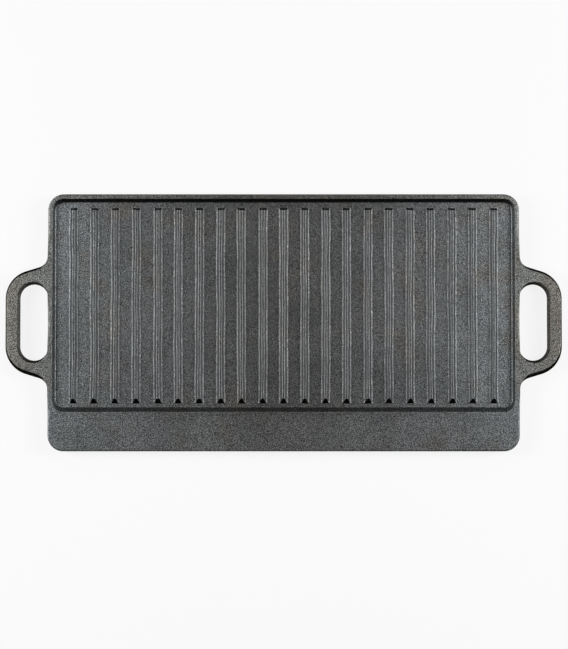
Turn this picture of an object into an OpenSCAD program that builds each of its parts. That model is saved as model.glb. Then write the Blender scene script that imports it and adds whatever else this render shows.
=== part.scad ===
// Reversible cast-iron griddle plate with looped end handles, lying with its ribbed side up.
// X runs from handle to handle, Y from the front apron to the rear rim, and Z is up.
// The origin is under the middle of the plate, on the surface that it stands on.
// The plate is one casting, so its nodes are zones of that casting that meet face to face.

/* [Plate] */
// Length of the plate between its two handles
plate_len = 423; // [300:1:600]
// Width of the plate from its front edge to its rear edge
plate_wid = 231; // [180:1:320]
// Radius of the plate's outer corners, seen from above
corner_r = 14.5; // [11:0.5:30]
// Thickness of the web between the two cooking faces
deck_t = 5; // [3:0.5:9]

/* [Ribbed side] */
// Depth of the ribbed pan below the top of the rim
pan_depth = 5.5; // [4.5:0.5:10]
// Width of the flat top of the rim
rim_w = 4; // [3:0.5:6]
// Horizontal run of the pan's sloping wall
wall_run = 2.5; // [1:0.5:5]
// Width of the flat apron along the front edge
apron_w = 35.4; // [24:0.2:60]

/* [Ribs] */
// Number of ribs
rib_count = 21; // [5:1:31]
// Distance from the foot of the pan's side wall to the middle of the first rib
rib_side_gap = 16.2; // [6:0.1:40]
// Gap between the foot of the rear wall and the rear ends of the ribs
rib_rear_gap = 5.9; // [1:0.1:30]
// Gap between the foot of the front wall and the front ends of the ribs
rib_front_gap = 5; // [1:0.1:30]
// Height of the ribs above the pan floor
rib_h = 3.5; // [1:0.25:4.5]
// Width of a rib at its foot
rib_foot_w = 6.3; // [4:0.1:8]
// Width of a rib at its crest
rib_crest_w = 2.4; // [1:0.1:4]
// Horizontal run of a rib's steep rear end
rib_rear_run = 1.8; // [0.5:0.1:6]
// Horizontal run of a rib's sloping front end
rib_front_run = 4.4; // [0.5:0.1:6]

/* [Flat side] */
// Height of the foot that keeps the flat cooking face off the surface below
foot_h = 4.5; // [2:0.5:10]
// Width of the lower face of the foot
foot_w = 5; // [3:0.5:5.5]
// Thickness of the apron over the drip trough
apron_t = 5; // [3:0.5:8]
// Horizontal thickness of the sloping wall between the pan and the drip trough
trough_wall_t = 5; // [3:0.5:8]

/* [Handles] */
// How far a handle stands out from the plate
handle_reach = 38.5; // [30:0.5:60]
// Width of the handle's bar, seen from above
bar_w = 13.5; // [8:0.5:22]
// Thickness of a handle, measured down from the top of the rim
handle_t = 11; // [8:0.5:14]
// Length of the finger hole
hole_len = 68; // [60:1:100]
// Angle at which a handle's shoulders spread towards the plate
shoulder_angle = 17; // [5:1:35]
// Radius of the hollow where a shoulder runs into the side of the plate
root_r = 12; // [5:0.5:20]
// Rounding of the handle's edges
handle_edge_r = 2.8; // [0.5:0.1:3.9]

/* [Hidden] */
$fn = 64;
iron = "#4d4f50";
worn_iron = "#5c5d5b";

// Heights of the faces, counted up from the surface below
floor_z = foot_h + deck_t;
top_z = floor_z + pan_depth;
trough_z = top_z - apron_t;

// The foot of the pan's wall lies this far inside the plate's edge
floor_inset = rim_w + wall_run;
floor_x = plate_len / 2 - floor_inset;
floor_rear = plate_wid / 2 - floor_inset;
apron_y = apron_w - plate_wid / 2;
floor_front = apron_y + wall_run;
floor_r = corner_r - floor_inset;

// Between these two planes the rim and the apron run straight
straight_x = plate_len / 2 - corner_r;

// The front foot's inner face, and where the trough's roof meets its sloping wall
front_foot_y = floor_inset - plate_wid / 2;
function slope_y(z) = apron_y + wall_run * (top_z - z) / pan_depth;
roof_end_y = slope_y(trough_z) - trough_wall_t;

// Cutters run past the faces that they open by this much
over = 1;

rib_pitch = 2 * (floor_x - rib_side_gap) / (rib_count - 1);
rib_rear = floor_rear - rib_rear_gap;
rib_front = floor_front + rib_front_gap;
function rib_name(i) = str("rib_", i < 10 ? "0" : "", i);

// Extrusions of an outline drawn in the YZ plane, along X, and in the XZ plane, along Y
module along_x(from, to) {
    translate([from, 0, 0]) rotate([90, 0, 90]) linear_extrude(to - from) children();
}

module along_y(from, to) {
    translate([0, to, 0]) rotate([90, 0, 0]) linear_extrude(to - from) children();
}

module zone(low, high) {
    translate(low) cube(high - low);
}

module rounded_rectangle(x, y0, y1, r) {
    translate([-x, y0 + r]) square([2 * x, y1 - y0 - 2 * r]);
    translate([r - x, y0]) square([2 * (x - r), y1 - y0]);
    for (side = [-1, 1], end = [y0 + r, y1 - r]) translate([side * (x - r), end]) circle(r);
}

// A cutter for a tray with leaning walls: x, y0, y1 and r are its floor, and the walls
// spread by run between the heights floor_at and open_at
module tray(x, y0, y1, r, run, floor_at, open_at) {
    reach = run * (1 + over / abs(open_at - floor_at));
    mouth = open_at + over * sign(open_at - floor_at);
    along_x(r - x, x - r) {
        polygon([[y0, floor_at], [y1, floor_at], [y1 + reach, mouth], [y0 - reach, mouth]]);
    }
    along_y(y0 + r, y1 - r) {
        polygon([[-x, floor_at], [x, floor_at], [x + reach, mouth], [-x - reach, mouth]]);
    }
    for (quarter = [0 : 3]) {
        across = quarter == 0 || quarter == 3 ? x - r : r - x;
        along = quarter < 2 ? y1 - r : y0 + r;
        translate([across, along, 0]) rotate(90 * quarter) rotate_extrude(angle = 90) {
            polygon([[0, floor_at], [r, floor_at], [r + reach, mouth], [0, mouth]]);
        }
    }
}

module floor_outline() {
    rounded_rectangle(floor_x, floor_front, floor_rear, floor_r);
}

// The deep end of the flat side, in front of its cooking face
module trough() {
    intersection() {
        along_x(-floor_x, floor_x) {
            polygon([
                [front_foot_y, foot_h - over],
                [front_foot_y, trough_z],
                [roof_end_y, trough_z],
                [slope_y(foot_h - over) - trough_wall_t, foot_h - over]
            ]);
        }
        linear_extrude(top_z) rounded_rectangle(floor_x, front_foot_y, floor_rear, floor_r);
    }
}

// The plate without its ribs and handles
module casting() {
    difference() {
        linear_extrude(top_z) {
            rounded_rectangle(plate_len / 2, -plate_wid / 2, plate_wid / 2, corner_r);
        }
        tray(floor_x, floor_front, floor_rear, floor_r, wall_run, floor_z, top_z);
        tray(floor_x, front_foot_y, floor_rear, floor_r, floor_inset - foot_w, foot_h, 0);
        trough();
    }
}

// The web between the two floors, taller by extra at its top and at its bottom
module web(extra) {
    translate([0, 0, foot_h - extra]) linear_extrude(deck_t + 2 * extra) floor_outline();
}

module deck() {
    color(iron) web(0);
}

module rear_rim() {
    color(worn_iron) intersection() {
        casting();
        zone([-straight_x, floor_rear, 0], [straight_x, plate_wid / 2, top_z]);
    }
}

// One end of the plate, with its rounded corners
module end_rim(side) {
    color(worn_iron) difference() {
        intersection() {
            casting();
            mirror([side < 0 ? 1 : 0, 0, 0]) {
                zone([straight_x, -plate_wid / 2, 0], [plate_len / 2, plate_wid / 2, top_z]);
            }
        }
        web(over);
    }
}

module left_rim() {
    end_rim(-1);
}

module right_rim() {
    end_rim(1);
}

module front_apron() {
    color(iron) intersection() {
        casting();
        zone([-straight_x, -plate_wid / 2, trough_z], [straight_x, roof_end_y, top_z]);
    }
}

module trough_wall() {
    color(iron) intersection() {
        casting();
        zone([-straight_x, roof_end_y, foot_h], [straight_x, floor_front, top_z]);
    }
}

module front_foot() {
    color(iron) intersection() {
        casting();
        zone([-straight_x, -plate_wid / 2, 0], [straight_x, front_foot_y, trough_z]);
    }
}

// A rib is a long wedge whose ends slope, the front one more than the rear one
module rib(i) {
    color(iron) translate([rib_pitch * (i - (rib_count + 1) / 2), 0, floor_z]) intersection() {
        along_y(rib_front, rib_rear) {
            polygon([
                [-rib_foot_w / 2, 0],
                [rib_foot_w / 2, 0],
                [rib_crest_w / 2, rib_h],
                [-rib_crest_w / 2, rib_h]
            ]);
        }
        along_x(-rib_foot_w / 2, rib_foot_w / 2) {
            polygon([
                [rib_front, 0],
                [rib_rear, 0],
                [rib_rear - rib_rear_run, rib_h],
                [rib_front + rib_front_run, rib_h]
            ]);
        }
    }
}

// A handle is a rounded bar swept round the finger hole, between an outer and an inner line.
// The lines share the centre of the hole's round end, and the outer one leaves it along the
// shoulder and runs into the plate's side through the root's hollow.
hole_r = (handle_reach - bar_w) / 2;
loop_r = hole_r + bar_w;
loop_centre = [plate_len / 2 + hole_r, hole_len / 2 - hole_r];
loop_sweep = 90 - shoulder_angle;
root_x = plate_len / 2 + root_r;
root_rise = loop_r + root_r - (root_x - loop_centre.x) * sin(shoulder_angle);
root_centre = [root_x, loop_centre.y + root_rise / cos(shoulder_angle)];
arc_steps = 7;

function polar(r, angle) = r * [cos(angle), sin(angle)];

// Pairs of outer and inner points, from the middle of the bar to the rear root
loop_stations = [
    for (k = [0 : arc_steps])
        let (angle = loop_sweep * k / arc_steps)
        [loop_centre + polar(loop_r, angle), loop_centre + polar(hole_r, angle)]
];
root_stations = [
    for (k = [0 : arc_steps])
        let (turn = loop_sweep * (1 - k / arc_steps))
        [root_centre + polar(root_r, 180 + turn), loop_centre + polar(hole_r, 180 - turn)]
];
rear_stations = concat(loop_stations, root_stations);
function to_front(station) = [for (p = station) [p.x, -p.y]];
stations = concat(
    [for (k = [len(rear_stations) - 1 : -1 : 0]) to_front(rear_stations[k])],
    rear_stations
);

// The bar's rounded section, width across, as points [across, up]
section_steps = 3;
function bar_section(width) = [
    for (corner = [0 : 3], step = [0 : section_steps])
        let (across = corner == 0 || corner == 3 ? 1 : -1, up = corner < 2 ? 1 : -1)
        [across * (width / 2 - handle_edge_r), up * (handle_t / 2 - handle_edge_r)]
        + polar(handle_edge_r, 90 * (corner + step / section_steps))
];

function bar_ring(outer, inner) =
    let (middle = (outer + inner) / 2, out = (outer - inner) / norm(outer - inner))
    [for (p = bar_section(norm(outer - inner)))
        [middle.x + out.x * p.x, middle.y + out.y * p.x, top_z - handle_t / 2 + p.y]];

module handle() {
    around = 4 * (section_steps + 1);
    last = len(stations) - 1;
    points = [for (station = stations) each bar_ring(station[0], station[1])];
    sides = [
        for (k = [0 : last - 1], j = [0 : around - 1])
            let (a = k * around + j, b = k * around + (j + 1) % around)
            each [[a, a + around, b], [b, a + around, b + around]]
    ];
    front_end = [for (j = [0 : around - 1]) j];
    rear_end = [for (j = [around - 1 : -1 : 0]) last * around + j];
    color(worn_iron) polyhedron(points, concat(sides, [front_end, rear_end]));
}

module left_handle() {
    mirror([1, 0, 0]) handle();
}

module right_handle() {
    handle();
}

deck();
rear_rim();
left_rim();
right_rim();
front_apron();
trough_wall();
front_foot();
left_handle();
right_handle();
for (i = [1 : rib_count]) {
    rib(i);
}
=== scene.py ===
"""Cast-iron griddle plate, ribbed side up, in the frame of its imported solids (metres, +Z up)."""
import math
from collections import namedtuple

import bmesh
import bpy
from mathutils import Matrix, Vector


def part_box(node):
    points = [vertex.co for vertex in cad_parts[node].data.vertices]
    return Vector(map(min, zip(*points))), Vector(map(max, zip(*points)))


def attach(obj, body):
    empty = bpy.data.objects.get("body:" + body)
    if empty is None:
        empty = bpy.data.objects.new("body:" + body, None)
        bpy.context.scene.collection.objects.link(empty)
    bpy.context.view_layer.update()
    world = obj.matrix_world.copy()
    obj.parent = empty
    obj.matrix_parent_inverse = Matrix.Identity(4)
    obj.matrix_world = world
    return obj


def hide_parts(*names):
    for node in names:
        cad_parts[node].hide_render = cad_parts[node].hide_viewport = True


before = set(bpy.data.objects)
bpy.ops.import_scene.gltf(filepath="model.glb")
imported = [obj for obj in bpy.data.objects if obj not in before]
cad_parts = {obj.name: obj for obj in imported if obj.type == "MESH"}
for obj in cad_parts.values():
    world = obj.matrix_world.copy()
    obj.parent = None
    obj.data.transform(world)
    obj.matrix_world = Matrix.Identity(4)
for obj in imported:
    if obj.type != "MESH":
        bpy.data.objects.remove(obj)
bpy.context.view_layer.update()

# Deck
# The flat web of the casting, which carries the ribs on its upper face and is the flat cooking
# face below. It is grey iron poured in sand, so it keeps the sand's grain under the seasoning.
MM = 0.001
deck_low, deck_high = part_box("deck")
rear_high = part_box("rear_rim")[1]
plate_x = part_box("right_rim")[1].x
plate_y = rear_high.y
corner_r = plate_x - rear_high.x
seam_inset = 10.8 * MM
front_seam_y = -66 * MM
deck_corner_steps = 10
merge_gap = 0.0005 * MM


def apply_modifier(piece, modifier):
    """Gives the piece the mesh that its one modifier makes, and takes the modifier off."""
    depsgraph = bpy.context.evaluated_depsgraph_get()
    made = bpy.data.meshes.new_from_object(piece.evaluated_get(depsgraph))
    piece.modifiers.remove(modifier)
    piece.data = made


def add_piece(name, bm, material, sharp_angle=38):
    """Turns a closed bmesh into an object whose broad faces shade flat and whose roundings shade smooth.

    It keeps a crease where faces turn by more than sharp_angle degrees."""
    bmesh.ops.remove_doubles(bm, verts=bm.verts, dist=merge_gap)
    bmesh.ops.recalc_face_normals(bm, faces=bm.faces)
    mesh = bpy.data.meshes.new(name)
    bm.to_mesh(mesh)
    bm.free()
    mesh.shade_smooth()
    mesh.set_sharp_from_angle(angle=math.radians(sharp_angle))
    mesh.materials.append(material)
    piece = bpy.data.objects.new(name, mesh)
    bpy.context.scene.collection.objects.link(piece)
    flatten = piece.modifiers.new("flatten", "WEIGHTED_NORMAL")
    flatten.keep_sharp = True
    apply_modifier(piece, flatten)
    return piece


def join_rings(bm, rings):
    """Makes a closed bar of rings of vertices, and gives each side face with its place in the ring."""
    sides = []
    for first, second in zip(rings, rings[1:]):
        for j in range(len(first)):
            following = (j + 1) % len(first)
            side_face = bm.faces.new((first[j], first[following], second[following], second[j]))
            sides.append((j, side_face))
    bm.faces.new(rings[0])
    bm.faces.new(list(reversed(rings[-1])))
    return sides


def calculate(tree, operation, *values):
    """One step of arithmetic in a node tree, on sockets or plain numbers."""
    node = tree.nodes.new("ShaderNodeMath")
    node.operation = operation
    for socket, value in zip(node.inputs, values):
        if isinstance(value, (int, float)):
            socket.default_value = value
        else:
            tree.links.new(value, socket)
    return node.outputs["Value"]


def remap(tree, socket, start=0.0, end=1.0, low=0.0, high=1.0):
    """A value that goes from low to high as the socket's goes from start to end."""
    node = tree.nodes.new("ShaderNodeMapRange")
    for label, value in (("From Min", start), ("From Max", end), ("To Min", low), ("To Max", high)):
        node.inputs[label].default_value = value
    tree.links.new(socket, node.inputs["Value"])
    return node.outputs["Result"]


def sand_cast_skin():
    """The skin that sand leaves on iron: pebbled grain, broad patches and thin brown bloom.

    Its scales are in grains, patches and blooms per metre."""
    skin_turn = (0.6, 0.4, 0.3)
    glint_sharpness = 1.6
    pebble_depth = 0.45
    group = bpy.data.node_groups.new("sand_cast_skin", "ShaderNodeTree")
    face = group.interface
    face.new_socket("Vector", in_out="INPUT", socket_type="NodeSocketVector")
    for label, value in (("Grain Scale", 1500.0), ("Patch Scale", 22.0), ("Bloom Scale", 34.0)):
        face.new_socket(label, in_out="INPUT", socket_type="NodeSocketFloat").default_value = value
    for label in ("Height", "Grain", "Patch", "Bloom"):
        face.new_socket(label, in_out="OUTPUT", socket_type="NodeSocketFloat")
    nodes, links = group.nodes, group.links
    entry = nodes.new("NodeGroupInput")
    exit_ = nodes.new("NodeGroupOutput")
    # The noise is turned aside, because it fades in flat faces that lie along its own grid
    aside = nodes.new("ShaderNodeVectorRotate")
    aside.rotation_type = "EULER_XYZ"
    aside.inputs["Rotation"].default_value = skin_turn
    links.new(entry.outputs["Vector"], aside.inputs["Vector"])

    def noise(scale, detail, roughness):
        node = nodes.new("ShaderNodeTexNoise")
        node.inputs["Detail"].default_value = detail
        node.inputs["Roughness"].default_value = roughness
        links.new(aside.outputs["Vector"], node.inputs["Vector"])
        links.new(entry.outputs[scale], node.inputs["Scale"])
        return node.outputs["Fac"]

    sand = noise("Grain Scale", detail=2.0, roughness=0.6)
    # The grain's glints, which the materials paint into the tone as painted glints and also use to vary
    # roughness
    glints = calculate(group, "POWER", remap(group, sand, start=0.34, end=0.7), glint_sharpness)
    links.new(glints, exit_.inputs["Grain"])
    pebbles = nodes.new("ShaderNodeTexVoronoi")
    links.new(aside.outputs["Vector"], pebbles.inputs["Vector"])
    links.new(entry.outputs["Grain Scale"], pebbles.inputs["Scale"])
    sunk = calculate(group, "MULTIPLY", pebbles.outputs["Distance"], pebble_depth)
    links.new(calculate(group, "SUBTRACT", sand, sunk), exit_.inputs["Height"])
    patches = noise("Patch Scale", detail=3.0, roughness=0.55)
    links.new(remap(group, patches, start=0.32, end=0.68), exit_.inputs["Patch"])
    blooms = noise("Bloom Scale", detail=4.0, roughness=0.62)
    links.new(remap(group, blooms, start=0.52, end=0.68), exit_.inputs["Bloom"])
    return group


skin_group = sand_cast_skin()
glancing_tint = (0.2, 0.19, 0.18)
# The colour of painted shade, for walls and ends painted dark
painted_shade_tone = (0.014, 0.0122, 0.0108)
# How far the painted glints lighten and darken the tone
glint_contrast = 3.9
mean_grain = 0.25
rough_hollow = 0.56
rough_grain = 0.5
grain_depth = 0.06 * MM
apron_fade_start = front_seam_y - 12 * MM
apron_fade_end = front_seam_y - 24 * MM
hand_fade_start = plate_x + 8 * MM
hand_fade_end = plate_x + 26 * MM


def seasoned_iron(
    name,
    dark,
    light,
    middle,
    ends,
    bloom,
    bloom_share,
    wear_and_painted_light,
    end_painted_light,
    held=None,
    wear_and_painted_light_ends=None,
):
    """Oiled cast iron: a dark metal whose tone, gloss and grain vary over the surface.

    Its tone, from dark to light in patches, is end_painted_light times as strong at the ends and on
    the apron, a painted light for how brightly the lamps light each place; it is tinted from middle
    to ends, and to held where a hand takes it. The meshes' wear and painted light attribute goes from
    1, an edge pale partly from wear and partly as a painted highlight, to -1, a wall painted dark as
    painted shade. A pale edge goes from the given pale colour in the middle to the one given for the
    ends."""
    material = bpy.data.materials.new(name)
    material.use_nodes = True
    tree = material.node_tree
    nodes, links = tree.nodes, tree.links
    shader = nodes["Principled BSDF"]
    shader.inputs["Metallic"].default_value = 1.0
    shader.inputs["Specular Tint"].default_value = (*glancing_tint, 1.0)
    place = nodes.new("ShaderNodeTexCoord")
    skin = nodes.new("ShaderNodeGroup")
    skin.node_tree = skin_group
    links.new(place.outputs["Object"], skin.inputs["Vector"])

    def mix(factor, first, second, blend="MIX"):
        """Two colours mixed. The node's colours are its inputs 6 and 7 and its output 2."""
        node = nodes.new("ShaderNodeMix")
        node.data_type = "RGBA"
        node.blend_type = blend
        if isinstance(factor, float):
            node.inputs["Factor"].default_value = factor
        else:
            links.new(factor, node.inputs["Factor"])
        for socket, value in ((node.inputs[6], first), (node.inputs[7], second)):
            if isinstance(value, tuple):
                socket.default_value = (*value, 1.0)
            else:
                links.new(value, socket)
        return node.outputs[2]

    spot = nodes.new("ShaderNodeSeparateXYZ")
    links.new(place.outputs["Object"], spot.inputs["Vector"])
    away = calculate(tree, "ABSOLUTE", spot.outputs["X"])
    sideways = remap(tree, away, end=plate_x)
    forwards = remap(tree, spot.outputs["Y"], start=apron_fade_start, end=apron_fade_end)
    in_hand = remap(tree, away, start=hand_fade_start, end=hand_fade_end)
    farther = calculate(tree, "MAXIMUM", sideways, forwards)
    # Painted light: the tone is painted lighter, or for the ribs a little darker, towards the ends and on
    # the apron, for how the lamps light them
    painted_light_gain = remap(tree, farther, low=1.0, high=end_painted_light)
    tint = mix(in_hand, mix(sideways, middle, ends), held or ends)
    # The painted glints are 1 at about the grain's mean, so they leave the tone as it is on the whole
    least_glint = 1 - glint_contrast * mean_grain
    painted_glints = remap(tree, skin.outputs["Grain"], low=least_glint, high=least_glint + glint_contrast)
    tone = mix(skin.outputs["Patch"], dark, light)
    tone = mix(1.0, tone, painted_light_gain, "MULTIPLY")
    tone = mix(1.0, tone, tint, "MULTIPLY")
    tone = mix(remap(tree, skin.outputs["Bloom"], high=bloom_share), tone, bloom)
    tone = mix(1.0, tone, painted_glints, "MULTIPLY")
    # Above 0 the mark pales the tone, partly as wear and partly as a painted highlight; below 0 it paints
    # the tone dark as painted shade
    wear_and_light_mark = nodes.new("ShaderNodeAttribute")
    wear_and_light_mark.attribute_name = "wear_and_painted_light"
    tone = mix(wear_and_light_mark.outputs["Fac"], tone, mix(sideways, wear_and_painted_light, wear_and_painted_light_ends or wear_and_painted_light))
    painted_shade_share = calculate(tree, "MULTIPLY", wear_and_light_mark.outputs["Fac"], -1.0)
    tone = mix(painted_shade_share, tone, mix(1.0, painted_shade_tone, painted_glints, "MULTIPLY"))
    links.new(tone, shader.inputs["Base Color"])
    roughness = remap(tree, skin.outputs["Grain"], low=rough_hollow, high=rough_grain)
    links.new(roughness, shader.inputs["Roughness"])
    bump = nodes.new("ShaderNodeBump")
    bump.inputs["Strength"].default_value = 1.0
    bump.inputs["Distance"].default_value = grain_depth
    links.new(skin.outputs["Height"], bump.inputs["Height"])
    links.new(bump.outputs["Normal"], shader.inputs["Normal"])
    return material


pan_finish = {
    "dark": (0.101, 0.106, 0.109),
    "light": (0.133, 0.139, 0.143),
    "middle": (0.93, 0.895, 0.865),
    "ends": (1.01, 1.03, 1.035),
    "bloom": (0.132, 0.122, 0.108),
    "bloom_share": 0.6,
}
pan_iron = seasoned_iron("seasoned_pan", wear_and_painted_light=(0.2, 0.206, 0.211), end_painted_light=1.35, **pan_finish)


def deck_outline():
    """The deck's edge seen from above: rounded at the rear corners, square at the front seam."""
    x = plate_x - seam_inset
    y = plate_y - seam_inset
    r = corner_r - seam_inset
    turns = [math.radians(90 * k / deck_corner_steps) for k in range(deck_corner_steps + 1)]
    rear_right = [(x - r + r * math.cos(turn), y - r + r * math.sin(turn)) for turn in turns]
    rear_left = [(-px, py) for px, py in reversed(rear_right)]
    return [(x, front_seam_y), *rear_right, *rear_left, (-x, front_seam_y)]


deck_mesh = bmesh.new()
deck_rings = []
for z in (deck_high.z, deck_low.z):
    deck_rings.append([deck_mesh.verts.new((x, y, z)) for x, y in deck_outline()])
join_rings(deck_mesh, deck_rings)
pan_deck = add_piece("pan_deck", deck_mesh, pan_iron)
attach(pan_deck, "root")
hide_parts("deck")

# Rims
# The raised rim along the rear and the two ends, with the foot of the flat side under it. Its
# section is one outline: drafted outer wall, rounded top, leaning pan wall and tray wall.
foot_w = 5 * MM
top_draft = 0.35 * MM
foot_draft = 0.25 * MM
rim_edge_r = 1.6 * MM
wall_fillet_r = 1.6 * MM
foot_edge_r = 1 * MM
tray_fillet_r = 2 * MM
foot_inner_r = 0.8 * MM
foot_wear = 1.0
foot_inner_wear = 0.8
top_wear = 0.35
mouth_wear = 0.3
# Painted shade darkens the middle of the rim's outer wall
outer_painted_shade = 0.9
top_z = rear_high.z
floor_z = deck_high.z
tray_z = deck_low.z
tray_inset = plate_y - deck_high.y
round_steps = 5
round_count = round_steps + 1
straight_half_angle = math.radians(89)

rim_iron = seasoned_iron(
    "seasoned_rim",
    dark=(0.108, 0.108, 0.103),
    light=(0.146, 0.147, 0.141),
    middle=(0.9, 0.87, 0.85),
    ends=(0.945, 0.978, 0.99),
    held=(0.865, 0.84, 0.81),
    bloom=(0.14, 0.121, 0.098),
    bloom_share=0.5,
    wear_and_painted_light=(0.21, 0.205, 0.193),
    end_painted_light=1.35,
)


def rounded(corners):
    """An outline with each corner (across, up, radius, worn) made an arc of round_count points.

    A corner of no radius stays one point. Painted shade on a corner, a wear and painted light value
    below 0, creeps on to the arcs on both sides of it. The points come back as (across, up, wear and
    painted light value)."""
    points = []
    for k, (across, up, radius, wear_and_painted_light) in enumerate(corners):
        if radius == 0:
            points.append((across, up, wear_and_painted_light))
            continue
        corner = Vector((across, up))
        previous = corners[k - 1]
        following = corners[(k + 1) % len(corners)]
        before = (Vector(previous[:2]) - corner).normalized()
        after = (Vector(following[:2]) - corner).normalized()
        half_angle = before.angle(after) / 2
        if half_angle > straight_half_angle:
            for j in range(round_count):
                spot = corner + before.lerp(after, j / round_steps) * radius
                points.append((spot.x, spot.y, 0.0))
            continue
        centre = corner + (before + after).normalized() * radius / math.sin(half_angle)
        start = corner + before * radius / math.tan(half_angle) - centre
        turn = math.pi - 2 * half_angle
        side = -1 if start.cross(corner - centre) < 0 else 1
        shade_before = min(0, previous[3])
        shade_after = min(0, following[3])
        for j in range(round_count):
            share = j / round_steps
            angle = side * turn * share
            spoke = Vector((
                start.x * math.cos(angle) - start.y * math.sin(angle),
                start.x * math.sin(angle) + start.y * math.cos(angle),
            ))
            spot = centre + spoke
            arc_wear_and_light = wear_and_painted_light
            if wear_and_painted_light >= 0:
                arc_wear_and_light = wear_and_painted_light * math.sin(math.pi * share)
                arc_wear_and_light += shade_before * (1 - share) ** 2 + shade_after * share**2
            points.append((spot.x, spot.y, arc_wear_and_light))
    return points


def outer_corners(edge_share):
    """The outer wall's corners as (inset, height, radius, worn), from the foot to the rim's top."""
    return [
        (foot_draft, 0, foot_edge_r, foot_wear),
        (0, floor_z, 0, -outer_painted_shade),
        (top_draft * edge_share, top_z, rim_edge_r * edge_share, top_wear * edge_share),
    ]


# A pan wall has the rim's width, a horizontal run, a rounding of its upper edge and a share of painted
# shade, strongest on the rear wall, which faces away from the lamps
PanWall = namedtuple("PanWall", "width run edge_r soot")
rear_wall = PanWall(width=4.5 * MM, run=2.5 * MM, edge_r=0.6 * MM, soot=0.8)
end_wall = PanWall(width=4.1 * MM, run=2 * MM, edge_r=0.8 * MM, soot=0.05)


def between(first, second, share):
    """Numbers that lie between two like rows of numbers."""
    return [a + (b - a) * share for a, b in zip(first, second)]


def pan_corners(wall):
    """The pan wall's corners, from the rim's inner edge down to the floor."""
    return [
        (wall.width, top_z, wall.edge_r, mouth_wear),
        (wall.width + wall.run / 2, (top_z + floor_z) / 2, 0, -wall.soot),
        (wall.width + wall.run, floor_z, wall_fillet_r, 0),
        (seam_inset, floor_z, 0, 0),
    ]


tray_corners = [
    (seam_inset, tray_z, 0, 0),
    (tray_inset, tray_z, tray_fillet_r, 0),
    (foot_w, 0, foot_inner_r, foot_inner_wear),
]


def rim_section(edge_share, wall):
    return rounded(outer_corners(edge_share) + pan_corners(wall) + tray_corners)


# How many points of a section lie on the outer wall and on both walls, and the rows where the pan
# wall begins and where the floor ends
outer_count = 2 * round_count + 1
upper_count = outer_count + 2 * round_count + 2
mouth_row = outer_count + round_count - 1
floor_row = upper_count - 1

# Along a side, the outer rounding is whole in the middle of the handle's finger hole and beyond
# its roots, and fades out at the roots themselves
hole_flat_y = 24.5 * MM
hole_round_y = 4 * MM
root_flat_y = 60 * MM
root_round_y = 84 * MM
least_edge_share = 0.05


def eased(share):
    """A share held between 0 and 1, with a gentle start and end."""
    held = min(1.0, max(0.0, share))
    return held * held * (3 - 2 * held)


def edge_share_at(y):
    """How much of the rim's outer rounding is left beside a handle's root, where it runs flush."""
    away = abs(y)
    if away < hole_flat_y:
        share = (hole_flat_y - away) / (hole_flat_y - hole_round_y)
    else:
        share = (away - root_flat_y) / (root_round_y - root_flat_y)
    return max(least_edge_share, eased(share))


def row_with_wear_and_light(bm, points):
    """Adds a row of points (x, y, z, worn) to a mesh, and gives its vertices."""
    layers = bm.verts.layers.float
    wear_and_light_layer = layers["wear_and_painted_light"] if "wear_and_painted_light" in layers else layers.new("wear_and_painted_light")
    row = []
    for x, y, z, wear_and_painted_light in points:
        vert = bm.verts.new((x, y, z))
        vert[wear_and_light_layer] = wear_and_painted_light
        row.append(vert)
    return row


def sweep(name, stations, sections):
    """A closed bar with a section set at each station, a map from inset to point.

    The pan's baked oil covers the faces from the mouth edge to the floor, as a second material."""
    bm = bmesh.new()
    rings = []
    for place, section in zip(stations, sections):
        rings.append(row_with_wear_and_light(bm, [(*place(inset), up, wear_and_painted_light) for inset, up, wear_and_painted_light in section]))
    for j, side_face in join_rings(bm, rings):
        side_face.material_index = 1 if mouth_row <= j < floor_row else 0
    rim = add_piece(name, bm, rim_iron)
    rim.data.materials.append(pan_iron)
    return rim


rear_seam_x = 190 * MM
rear_section = rim_section(1.0, rear_wall)


def rear_place(x):
    return lambda inset: (x, plate_y - inset)


rear_rim = sweep(
    "rim_rear",
    [rear_place(-rear_seam_x), rear_place(rear_seam_x)],
    [rear_section, rear_section],
)
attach(rear_rim, "root")
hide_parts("rear_rim")

corner_x = plate_x - corner_r
corner_y = plate_y - corner_r
corner_steps = 16
side_step = 2 * MM


def corner_place(side, angle):
    turn = math.radians(angle)
    return lambda inset: (
        side * (corner_x + (corner_r - inset) * math.cos(turn)),
        corner_y + (corner_r - inset) * math.sin(turn),
    )


def side_place(side, y):
    return lambda inset: (side * (plate_x - inset), y)


def end_rim(name, side):
    """An end's rim, from the rear seam round the corner and along the side to the front seam."""
    stations = [rear_place(side * rear_seam_x)]
    sections = [rear_section]
    for k in range(corner_steps + 1):
        share = k / corner_steps
        stations.append(corner_place(side, 90 - 90 * share))
        sections.append(rim_section(1.0, PanWall(*between(rear_wall, end_wall, share))))
    side_count = round((corner_y - front_seam_y) / side_step)
    for k in range(1, side_count + 1):
        y = corner_y + (front_seam_y - corner_y) * k / side_count
        stations.append(side_place(side, y))
        sections.append(rim_section(edge_share_at(y), end_wall))
    return sweep(name, stations, sections)


for piece_name, node, side in (("rim_left", "left_rim", -1), ("rim_right", "right_rim", 1)):
    rim = end_rim(piece_name, side)
    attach(rim, "root")
    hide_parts(node)

# Apron and drip trough
# The front of the casting: the step from the pan up to a flat apron, which roofs the drip trough
# of the flat side, and the front foot. Cast in one with the rims, so their sections meet here.
trough_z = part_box("front_apron")[0].z
apron_w = 35.4 * MM
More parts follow.
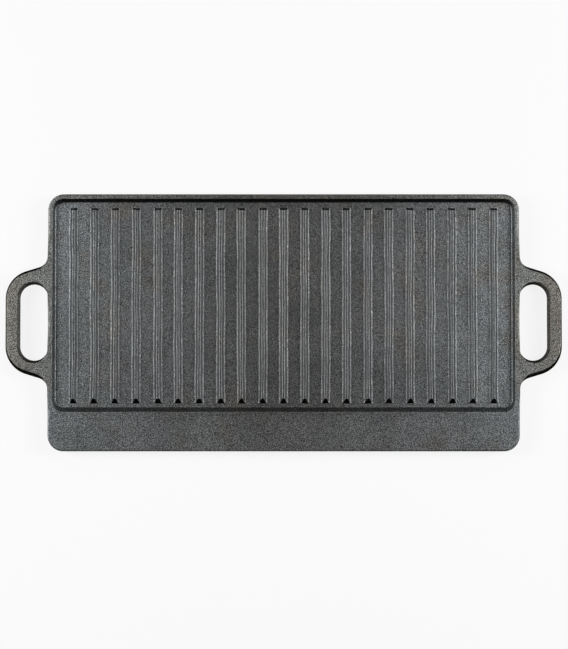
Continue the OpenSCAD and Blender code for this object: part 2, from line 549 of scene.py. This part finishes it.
# The front wall is painted part dark, as painted shade
front_wall = PanWall(width=4 * MM, run=4.2 * MM, edge_r=1.4 * MM, soot=0.37)
mouth_front = apron_w - plate_y
mouth_r = corner_r - front_wall.width
trough_fillet_r = 2 * MM
trough_lip_r = 1 * MM
tray_knee = 0.45
tray_knee_r = 0.3 * MM
slope_rear_y = -78 * MM
slope_front_y = -82.4 * MM
straight_steps = 40
front_corner_steps = 14
front_steps = 24


def front_line(front_y, radius, insets):
    """A line at insets from an edge, from the left seam round the front to the right seam."""
    centre_y = front_y + radius
    left = []
    for k in range(straight_steps):
        y = front_seam_y + (centre_y - front_seam_y) * k / straight_steps
        left.append((insets[k] - corner_x - radius, y))
    for k in range(front_corner_steps + 1):
        turn = math.radians(180 + 90 * k / front_corner_steps)
        spoke = radius - insets[straight_steps + k]
        left.append((spoke * math.cos(turn) - corner_x, spoke * math.sin(turn) + centre_y))
    front = []
    for k in range(1, front_steps):
        front.append((corner_x * (2 * k / front_steps - 1), front_y + insets[len(left)]))
    right = [(-x, y) for x, y in reversed(left)]
    return left + front + right


def plate_line(insets):
    return front_line(-plate_y, corner_r, insets)


def pan_line(insets):
    return front_line(mouth_front, mouth_r, [inset - front_wall.width for inset in insets])


# From the left seam to the right one: how far the end's wall has become the front's, and how much
# of the outer rounding there is
left_shares = [0.0] * straight_steps
left_edges = []
for k in range(straight_steps):
    share = k / straight_steps
    left_edges.append(edge_share_at(front_seam_y - (corner_y + front_seam_y) * share))
for k in range(front_corner_steps + 1):
    left_shares.append(k / front_corner_steps)
    left_edges.append(1.0)
front_shares = left_shares + [1.0] * (front_steps - 1) + left_shares[::-1]
edge_shares = left_edges + [1.0] * (front_steps - 1) + left_edges[::-1]


def trough_share(y):
    """0 under the flat cooking face, 1 under the trough's roof, and a slope between them."""
    return eased((y - slope_rear_y) / (slope_front_y - slope_rear_y))


# The underside from the seam to the foot, below the flat cooking face and below the trough. Both
# stop short of the foot's outer rounding, with which the upper side begins
foot_corners = [(foot_w, 0, foot_inner_r, foot_inner_wear), outer_corners(1.0)[0]]
flat_chain = rounded([
    (seam_inset, tray_z, 0, 0),
    (tray_inset, tray_z, tray_fillet_r, 0),
    (foot_w + (tray_inset - foot_w) * tray_knee, tray_z * tray_knee, tray_knee_r, 0),
    *foot_corners,
])[:-round_count]
trough_chain = rounded([
    (seam_inset, trough_z, 0, 0),
    (tray_inset, trough_z, trough_fillet_r, 0),
    (tray_inset, tray_z, trough_lip_r, 0),
    *foot_corners,
])[:-round_count]

front_sections = []
for share, edge_share in zip(front_shares, edge_shares):
    wall = PanWall(*between(end_wall, front_wall, share))
    front_sections.append(rim_section(edge_share, wall)[:upper_count])

apron_mesh = bmesh.new()
upper_rows = []
for k in range(upper_count):
    insets = [section[k][0] for section in front_sections]
    line = plate_line(insets) if k < outer_count else pan_line(insets)
    levels = [section[k][1:] for section in front_sections]
    upper_rows.append(row_with_wear_and_light(apron_mesh, [(*spot, *level) for spot, level in zip(line, levels)]))
lower_rows = []
for (flat_inset, flat_z, wear_and_painted_light), (deep_inset, deep_z, _) in zip(flat_chain, trough_chain):
    flat_line = plate_line([flat_inset] * len(front_shares))
    deep_line = plate_line([deep_inset] * len(front_shares))
    points = []
    for flat_spot, deep_spot in zip(flat_line, deep_line):
        share = trough_share(flat_spot[1])
        points.append((*between((*flat_spot, flat_z), (*deep_spot, deep_z), share), wear_and_painted_light))
    lower_rows.append(row_with_wear_and_light(apron_mesh, points))

section_rows = lower_rows + upper_rows
for first, second in zip(section_rows, section_rows[1:]):
    for j in range(len(first) - 1):
        apron_mesh.faces.new((first[j], first[j + 1], second[j + 1], second[j]))


def close_across(row):
    """Fills the area inside a front line with strips that run from its left half to its right half."""
    last = len(row) - 1
    turn = straight_steps + front_corner_steps
    for j in range(turn - 1):
        apron_mesh.faces.new((row[j], row[j + 1], row[last - j - 1], row[last - j]))
    apron_mesh.faces.new(row[turn - 1 : last - turn + 2])


close_across(upper_rows[-1])
close_across(lower_rows[0])
apron_mesh.faces.new([row[0] for row in section_rows] + [row[-1] for row in reversed(section_rows)])
apron = add_piece("apron_and_trough", apron_mesh, pan_iron)
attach(apron, "root")
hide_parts("front_apron", "trough_wall", "front_foot")

# Ribs
# Parallel ridges that lift food off the pan floor. They are cast with the deck, so each has a
# broad hollow at its foot, a crest pale partly from wear and partly as a painted highlight, and the
# small wander that a hand-rammed mould gives. Their feet and flanks carry painted highlights.
rib_nodes = sorted(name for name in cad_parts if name.startswith("rib_"))
rib_low, rib_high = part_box(rib_nodes[0])
rib_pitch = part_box(rib_nodes[1])[0].x - rib_low.x
rib_half = (rib_high.x - rib_low.x) / 2
rib_h = rib_high.z - floor_z
crest_half = 1.2 * MM
crest_edge_r = 1.2 * MM
rib_fillet_r = 2.4 * MM
foot_strip = 0.05 * MM
foot_dip = 0.02 * MM
rib_sink = 0.3 * MM
# The pale marks on a rib's foot and flank are painted highlights, and the crest's is wear and painted
# highlight together
rib_foot_highlight = 0.08
flank_highlight = 1.0
crest_wear_and_highlight = 0.32
end_waste = 1 * MM
rib_step = 2.5 * MM
rib_rear_run = 1.8 * MM
rib_front_run = 4.4 * MM
crest_chamfer = 0.3 * MM
shade_margin = 0.15 * MM
cut_gap = 0.0001 * MM

# The ribs' pale colour is bluish, partly a painted highlight, and is painted dimmer at the ends to offset
# the lamps' stronger light there
rib_iron = seasoned_iron(
    "seasoned_ribs",
    wear_and_painted_light=(0.32, 0.332, 0.345),
    wear_and_painted_light_ends=(0.24, 0.245, 0.248),
    end_painted_light=0.95,
    **pan_finish,
)

flank = Vector((crest_half - rib_half, rib_h))
hollow_reach = rib_fillet_r * math.tan(flank.angle(Vector((-1, 0))) / 2)
hollow_half = rib_half + hollow_reach + foot_strip
right_half = [
    (crest_half, rib_h, crest_edge_r, crest_wear_and_highlight),
    ((rib_half + crest_half) / 2, rib_h / 2, 0, flank_highlight),
    (rib_half, 0, rib_fillet_r, rib_foot_highlight),
    (hollow_half, -foot_dip, 0, 0),
    (hollow_half, -rib_sink, 0, 0),
]
left_half = [(-across, *rest) for across, *rest in reversed(right_half)]
rib_section = rounded(left_half + right_half)

rib_mesh = bmesh.new()
rib_rings = []
blank_front = rib_low.y - end_waste
blank_rear = rib_high.y + end_waste
ring_count = round((blank_rear - blank_front) / rib_step)
for k in range(ring_count + 1):
    y = blank_front + (blank_rear - blank_front) * k / ring_count
    ring = [(across, y, floor_z + up, wear_and_painted_light) for across, up, wear_and_painted_light in rib_section]
    rib_rings.append(row_with_wear_and_light(rib_mesh, ring))
join_rings(rib_mesh, rib_rings)
rib_wear_and_light = rib_mesh.verts.layers.float["wear_and_painted_light"]


def slice_blank(point, outward, clear_outer=False):
    """Cuts the blank's faces along a plane, and can drop what lies outside it."""
    return bmesh.ops.bisect_plane(
        rib_mesh,
        geom=rib_mesh.verts[:] + rib_mesh.edges[:] + rib_mesh.faces[:],
        plane_co=point,
        plane_no=outward,
        clear_outer=clear_outer,
        dist=cut_gap,
    )


def cut_end(point, outward):
    """Cuts the blank off along a sloping plane and closes the new end."""
    cut = slice_blank(point, outward, clear_outer=True)
    edges = [item for item in cut["geom_cut"] if isinstance(item, bmesh.types.BMEdge)]
    bmesh.ops.contextual_create(rib_mesh, geom=edges)


def paint_shade_on_end(point, outward, reach):
    """Paints what lies outside a plane dark, as painted shade, up to a line just inside it and to reach
    on each side.
    """
    facing = Vector(outward).normalized()
    for depth in (0, shade_margin):
        slice_blank(Vector(point) - facing * depth, facing)
    for vert in rib_mesh.verts:
        outside = (vert.co - Vector(point)).dot(facing) > -shade_margin / 2
        if outside and abs(vert.co.x) < reach:
            vert[rib_wear_and_light] = -1.0


# The rib ends are painted dark, as painted shade
for end_y, facing, run in ((rib_low.y, -1, rib_front_run), (rib_high.y, 1, rib_rear_run)):
    cut_end((0, end_y, floor_z), (0, facing * rib_h, run))
    crest_y = end_y - facing * (run + crest_chamfer)
    cut_end((0, crest_y, floor_z + rib_h), (0, facing * rib_h / 2, run))
    paint_shade_on_end((0, end_y, floor_z), (0, facing * rib_h, run), hollow_half)
paint_shade_on_end((0, rib_high.y - rib_rear_run, floor_z), (0, 1, 0), rib_half)
blank = add_piece("cooking_ribs", rib_mesh, rib_iron, sharp_angle=30)


def rib_row_tree():
    """A row of like ribs that wander a little, from one rib in the middle of the row."""
    tree = bpy.data.node_groups.new("rib_row", "GeometryNodeTree")
    face = tree.interface
    face.new_socket("Geometry", in_out="INPUT", socket_type="NodeSocketGeometry")
    for label, kind in (
        ("Count", "NodeSocketInt"),
        ("Pitch", "NodeSocketFloat"),
        ("Stagger", "NodeSocketFloat"),
        ("Wander", "NodeSocketFloat"),
        ("Ripple", "NodeSocketFloat"),
        ("Seed", "NodeSocketInt"),
        ("Iron", "NodeSocketMaterial"),
    ):
        face.new_socket(label, in_out="INPUT", socket_type=kind)
    face.new_socket("Geometry", in_out="OUTPUT", socket_type="NodeSocketGeometry")
    nodes, links = tree.nodes, tree.links
    entry = nodes.new("NodeGroupInput")
    exit_ = nodes.new("NodeGroupOutput")

    def along_x(value):
        node = nodes.new("ShaderNodeCombineXYZ")
        links.new(value, node.inputs["X"])
        return node.outputs["Vector"]

    gaps = calculate(tree, "SUBTRACT", entry.outputs["Count"], 1)
    row_length = calculate(tree, "MULTIPLY", gaps, entry.outputs["Pitch"])
    line = nodes.new("GeometryNodeMeshLine")
    links.new(entry.outputs["Count"], line.inputs["Count"])
    links.new(along_x(calculate(tree, "MULTIPLY", row_length, -0.5)), line.inputs["Start Location"])
    links.new(along_x(entry.outputs["Pitch"]), line.inputs["Offset"])
    # The random number's least and most are inputs 2 and 3, and the number is output 1
    stagger = nodes.new("FunctionNodeRandomValue")
    stagger.data_type = "FLOAT"
    links.new(entry.outputs["Seed"], stagger.inputs["Seed"])
    links.new(calculate(tree, "MULTIPLY", entry.outputs["Stagger"], -1), stagger.inputs[2])
    links.new(entry.outputs["Stagger"], stagger.inputs[3])
    shift = nodes.new("GeometryNodeSetPosition")
    links.new(line.outputs["Mesh"], shift.inputs["Geometry"])
    links.new(along_x(stagger.outputs[1]), shift.inputs["Offset"])
    copies = nodes.new("GeometryNodeInstanceOnPoints")
    links.new(shift.outputs["Geometry"], copies.inputs["Points"])
    links.new(entry.outputs["Geometry"], copies.inputs["Instance"])
    real = nodes.new("GeometryNodeRealizeInstances")
    links.new(copies.outputs["Instances"], real.inputs["Geometry"])

    def drift(scale, stretch, amount):
        """A sideways offset that changes slowly along a rib."""
        place = nodes.new("GeometryNodeInputPosition")
        squeeze = nodes.new("ShaderNodeVectorMath")
        squeeze.operation = "MULTIPLY"
        squeeze.inputs[1].default_value = stretch
        links.new(place.outputs["Position"], squeeze.inputs[0])
        noise = nodes.new("ShaderNodeTexNoise")
        noise.noise_dimensions = "4D"
        noise.inputs["Scale"].default_value = scale
        noise.inputs["Detail"].default_value = 1.0
        links.new(squeeze.outputs["Vector"], noise.inputs["Vector"])
        links.new(entry.outputs["Seed"], noise.inputs["W"])
        centred = calculate(tree, "SUBTRACT", noise.outputs["Fac"], 0.5)
        return calculate(tree, "MULTIPLY", centred, amount)

    wander = drift(scale=60.0, stretch=(1.0, 0.35, 0.0), amount=entry.outputs["Wander"])
    ripple = drift(scale=260.0, stretch=(1.0, 0.16, 0.0), amount=entry.outputs["Ripple"])
    bend = nodes.new("GeometryNodeSetPosition")
    links.new(real.outputs["Geometry"], bend.inputs["Geometry"])
    links.new(along_x(calculate(tree, "ADD", wander, ripple)), bend.inputs["Offset"])
    paint = nodes.new("GeometryNodeSetMaterial")
    links.new(bend.outputs["Geometry"], paint.inputs["Geometry"])
    links.new(entry.outputs["Iron"], paint.inputs["Material"])
    links.new(paint.outputs["Geometry"], exit_.inputs["Geometry"])
    return tree


rib_row = blank.modifiers.new("rib_row", "NODES")
rib_row.node_group = rib_row_tree()
row_values = {
    "Count": len(rib_nodes),
    "Pitch": rib_pitch,
    "Stagger": 0.35 * MM,
    "Wander": 2 * MM,
    "Ripple": 0.8 * MM,
    "Seed": 7,
    "Iron": rib_iron,
}
for item in rib_row.node_group.interface.items_tree:
    if item.in_out == "INPUT" and item.name in row_values:
        rib_row[item.identifier] = row_values[item.name]
apply_modifier(blank, rib_row)
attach(blank, "root")
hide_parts(*rib_nodes)

# Handles
# A looped grip at each end, flush with the rim's top and cast with it. A rounded bar goes round
# the finger hole and spreads into the plate's side through a shoulder and a hollow root.
handle_low, handle_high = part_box("right_handle")
handle_reach = handle_high.x - plate_x
handle_t = handle_high.z - handle_low.z
parting_z = (handle_low.z + handle_high.z) / 2
bar_w = 13.5 * MM
hole_len = 68 * MM
shoulder_angle = 17
root_r = 12 * MM
bar_lean = 2 * MM
rear_lean = 2.5 * MM
front_lean = 3.5 * MM
inner_lean = 2.3 * MM
root_lean = 0.8 * MM
bar_edge_r = 0.9 * MM
parting_r = 2 * MM
root_cover = 0.15 * MM
root_tuck = 0.5 * MM
# The bar's edges are paled, partly as wear and partly as a painted highlight
bar_edge_wear_and_highlight = 0.2
# Painted shade darkens the bar's outer and inner sides at the parting line, the inner side less along the
# bar
outer_side_shade = 1.0
inner_side_shade = 0.85
hand_rub = 0.6
loop_steps = 16
shoulder_steps = 10
root_steps = 16
bar_steps = 8

hole_r = (handle_reach - bar_w) / 2
loop_r = hole_r + bar_w
loop_centre = Vector((plate_x + hole_r, hole_len / 2 - hole_r))
loop_sweep = 90 - shoulder_angle
root_x = plate_x + root_r
shoulder_turn = math.radians(shoulder_angle)
root_rise = loop_r + root_r - (root_x - loop_centre.x) * math.sin(shoulder_turn)
root_centre = Vector((root_x, loop_centre.y + root_rise / math.cos(shoulder_turn)))


def polar(centre, radius, angle):
    """A point at a radius and an angle in degrees from a centre."""
    turn = math.radians(angle)
    return centre + Vector((radius * math.cos(turn), radius * math.sin(turn)))


def half_stations(shoulder_lean):
    """Outer and inner points from the bar's middle to the rear root, as (outer, inner, lean, rub).

    The lean is the outer side's, and rub is 1 along the bar that a hand rubs and 0 at the root."""
    found = []
    for k in range(bar_steps):
        drop = Vector((0, -loop_centre.y * (1 - k / bar_steps)))
        outer = polar(loop_centre, loop_r, 0) + drop
        inner = polar(loop_centre, hole_r, 0) + drop
        found.append((outer, inner, bar_lean, 1.0))
    for k in range(loop_steps + 1):
        share = k / loop_steps
        outer = polar(loop_centre, loop_r, loop_sweep * share)
        inner = polar(loop_centre, hole_r, loop_sweep * share)
        found.append((outer, inner, bar_lean + (shoulder_lean - bar_lean) * share, 1 - share))
    start = polar(loop_centre, loop_r, loop_sweep)
    finish = polar(root_centre, root_r, 180 + loop_sweep)
    for k in range(1, shoulder_steps):
        share = k / shoulder_steps
        inner = polar(loop_centre, hole_r, loop_sweep + (180 - 2 * loop_sweep) * share)
        found.append((start.lerp(finish, share), inner, shoulder_lean, 0.0))
    for k in range(root_steps + 1):
        share = k / root_steps
        turn = loop_sweep * (1 - share)
        outer = polar(root_centre, root_r, 180 + turn)
        inner = polar(loop_centre, hole_r, 180 - turn)
        found.append((outer, inner, shoulder_lean + (root_lean - shoulder_lean) * share, 0.0))
    return found


def bar_ring(outer, inner, lean, rub):
    """The bar's section, widest at the mould's parting line, from the inner point to the outer one."""
    width = (outer - inner).length
    outer_tip = width + parting_r * (math.hypot(handle_t / 2, lean) / (handle_t / 2) - 1)
    section = rounded([
        (inner_lean, handle_low.z, bar_edge_r, bar_edge_wear_and_highlight),
        (width - lean, handle_low.z, bar_edge_r, bar_edge_wear_and_highlight),
        (outer_tip, parting_z, parting_r, -outer_side_shade),
        (width - lean, handle_high.z, bar_edge_r, bar_edge_wear_and_highlight),
        (inner_lean, handle_high.z, bar_edge_r, bar_edge_wear_and_highlight),
        (0, parting_z, parting_r, hand_rub * rub - inner_side_shade),
    ])
    across = (outer - inner).normalized()
    return [(*(inner + across * inset), up, wear_and_painted_light) for inset, up, wear_and_painted_light in section]


def root_rings(ring):
    """A root's last ring again, a little inside the plate's side, and then deeper and flatter."""
    found = []
    for depth, shrink in ((root_cover, 0), (root_cover + root_tuck, root_tuck)):
        flat = 1 - 2 * shrink / handle_t
        found.append([(x - depth, y, parting_z + (z - parting_z) * flat, wear_and_painted_light) for x, y, z, wear_and_painted_light in ring])
    return found


def handle(name, side):
    rear = [bar_ring(*station) for station in half_stations(rear_lean)]
    front = []
    for station in reversed(half_stations(front_lean)[1:]):
        front.append([(x, -y, z, wear_and_painted_light) for x, y, z, wear_and_painted_light in bar_ring(*station)])
    bm = bmesh.new()
    rings = []
    for ring in root_rings(front[0])[::-1] + front + rear + root_rings(rear[-1]):
        rings.append(row_with_wear_and_light(bm, [(side * x, y, z, wear_and_painted_light) for x, y, z, wear_and_painted_light in ring]))
    join_rings(bm, rings)
    return add_piece(name, bm, rim_iron)


for piece_name, node, side in (("handle_left", "left_handle", -1), ("handle_right", "right_handle", 1)):
    grip = handle(piece_name, side)
    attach(grip, "root")
    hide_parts(node)

# Studio
# A pale floor under the plate, a long soft lamp at each end and a weak one behind, in a dim room,
# so that the rounded feet of the ribs catch light and the front and rear walls stay dark.
floor_half = 15
paper_white = 0.85
glow_share = 0.85
room_strength = 0.03
end_lamp_place = Vector((1, 0.12, 0.78))
end_lamp_size = (0.45, 0.65)
end_lamp_watts = 11
rear_lamp_place = Vector((0, 1.3, 0.9))
rear_lamp_size = (1.6, 0.4)
rear_lamp_watts = 3
lamp_target = Vector((0, 0, 0))

floor_corners = [(x * floor_half, y * floor_half, 0) for x, y in ((-1, -1), (1, -1), (1, 1), (-1, 1))]
floor_mesh = bpy.data.meshes.new("studio_floor")
floor_mesh.from_pydata(floor_corners, [], [(0, 1, 2, 3)])
floor = bpy.data.objects.new("studio_floor", floor_mesh)
bpy.context.scene.collection.objects.link(floor)

# White to the camera and in reflections, apart from the share that shows the plate's shadow
paper = bpy.data.materials.new("white_paper")
paper.use_nodes = True
paper_tree = paper.node_tree
paper_nodes, paper_links = paper_tree.nodes, paper_tree.links
paper_nodes.remove(paper_nodes["Principled BSDF"])
matte = paper_nodes.new("ShaderNodeBsdfDiffuse")
matte.inputs["Color"].default_value = (paper_white, paper_white, paper_white, 1)
glow = paper_nodes.new("ShaderNodeEmission")
glow.inputs["Strength"].default_value = 1.0
path = paper_nodes.new("ShaderNodeLightPath")
seen = calculate(paper_tree, "MAXIMUM", path.outputs["Is Camera Ray"], path.outputs["Is Glossy Ray"])
seen_through = calculate(paper_tree, "MAXIMUM", seen, path.outputs["Is Transmission Ray"])
paper_mix = paper_nodes.new("ShaderNodeMixShader")
paper_links.new(calculate(paper_tree, "MULTIPLY", seen_through, glow_share), paper_mix.inputs["Fac"])
paper_links.new(matte.outputs["BSDF"], paper_mix.inputs[1])
paper_links.new(glow.outputs["Emission"], paper_mix.inputs[2])
paper_links.new(paper_mix.outputs["Shader"], paper_nodes["Material Output"].inputs["Surface"])
paper.cycles.emission_sampling = "NONE"
floor_mesh.materials.append(paper)

world = bpy.data.worlds.new("dim_room")
world.use_nodes = True
room = world.node_tree.nodes["Background"]
room.inputs["Color"].default_value = (1, 1, 1, 1)
room.inputs["Strength"].default_value = room_strength
bpy.context.scene.world = world


def soft_lamp(name, place, size, watts):
    """A rectangular lamp that faces the lamps' target."""
    lamp = bpy.data.lights.new(name, "AREA")
    lamp.shape = "RECTANGLE"
    lamp.size, lamp.size_y = size
    lamp.energy = watts
    holder = bpy.data.objects.new(name, lamp)
    holder.location = place
    holder.rotation_euler = (lamp_target - place).to_track_quat("-Z", "Y").to_euler()
    bpy.context.scene.collection.objects.link(holder)


for lamp_name, side in (("left_lamp", -1), ("right_lamp", 1)):
    lamp_place = Vector((side * end_lamp_place.x, end_lamp_place.y, end_lamp_place.z))
    soft_lamp(lamp_name, lamp_place, end_lamp_size, end_lamp_watts)
soft_lamp("rear_lamp", rear_lamp_place, rear_lamp_size, rear_lamp_watts)

# Camera
# It looks almost straight down on the plate from slightly in front of its middle.
image_px = (568, 649)
mm_per_px = 0.8948
camera_height = 1.25
camera_back = 0.03
aim = Vector((0.0003, -0.0018, top_z))
view = bpy.data.cameras.new("camera")
view.sensor_fit = "VERTICAL"
view.sensor_height = 36.0
view.lens = view.sensor_height * camera_height / (image_px[1] * mm_per_px * MM)
camera = bpy.data.objects.new("camera", view)
camera.location = aim + Vector((0, -camera_back, camera_height))
camera.rotation_euler = (aim - camera.location).to_track_quat("-Z", "Y").to_euler()
bpy.context.scene.collection.objects.link(camera)
bpy.context.scene.camera = camera
bpy.context.scene.view_settings.view_transform = "Standard"
